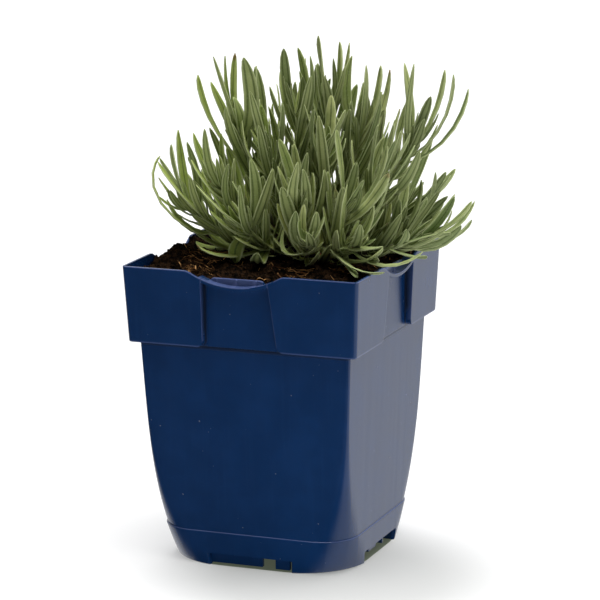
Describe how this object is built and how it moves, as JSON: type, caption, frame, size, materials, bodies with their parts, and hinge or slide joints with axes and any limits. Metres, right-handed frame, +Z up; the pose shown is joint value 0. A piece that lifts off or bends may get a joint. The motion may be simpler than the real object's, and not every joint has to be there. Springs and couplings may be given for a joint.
{
  "type": "potted lavender",
  "caption": "Young lavender plant with narrow grey-green leaves on upright stems, growing from soil in a square tapered plastic nursery pot.",
  "frame": {"origin": "on the ground, below the middle of the object's bounding box; the pot's own axis stands a little to the -X and -Y side of it, because the leaves reach further to +X and +Y", "axes": "+Z up; the pot's sides face along X and Y, and the picture looks at the side that faces -Y and, more narrowly, at the one that faces +X"},
  "size_m": [0.137, 0.1254, 0.229],
  "materials": {
    "pot": "satin, injection moulded, dark blue",
    "soil": "loose, crumbly, matte, near black with brown fibres",
    "leaf": "matte, finely felted grey-green"
  },
  "bodies": {
    "root": {"pot": "pot", "soil": "soil", "stem_upper_left": "leaf", "stem_left_low": "leaf", "stem_left_mid": "leaf", "stem_top_left": "leaf", "stem_top_mid": "leaf", "stem_top_right": "leaf", "stem_right_top": "leaf", "stem_right_mid": "leaf", "stem_right_low": "leaf", "stem_right_lowest": "leaf", "stem_front_mid": "leaf", "stem_front_small": "leaf", "stem_front_right": "leaf", "stem_front_left": "leaf", "stem_mid": "leaf", "stem_mid_left": "leaf", "stem_front_right_big": "leaf", "stem_back_left": "leaf", "stem_back_mid": "leaf", "stem_back_right": "leaf", "stem_back_left_low": "leaf", "stem_back_right_low": "leaf", "stem_back_low": "leaf"}
  },
  "joints": []
}
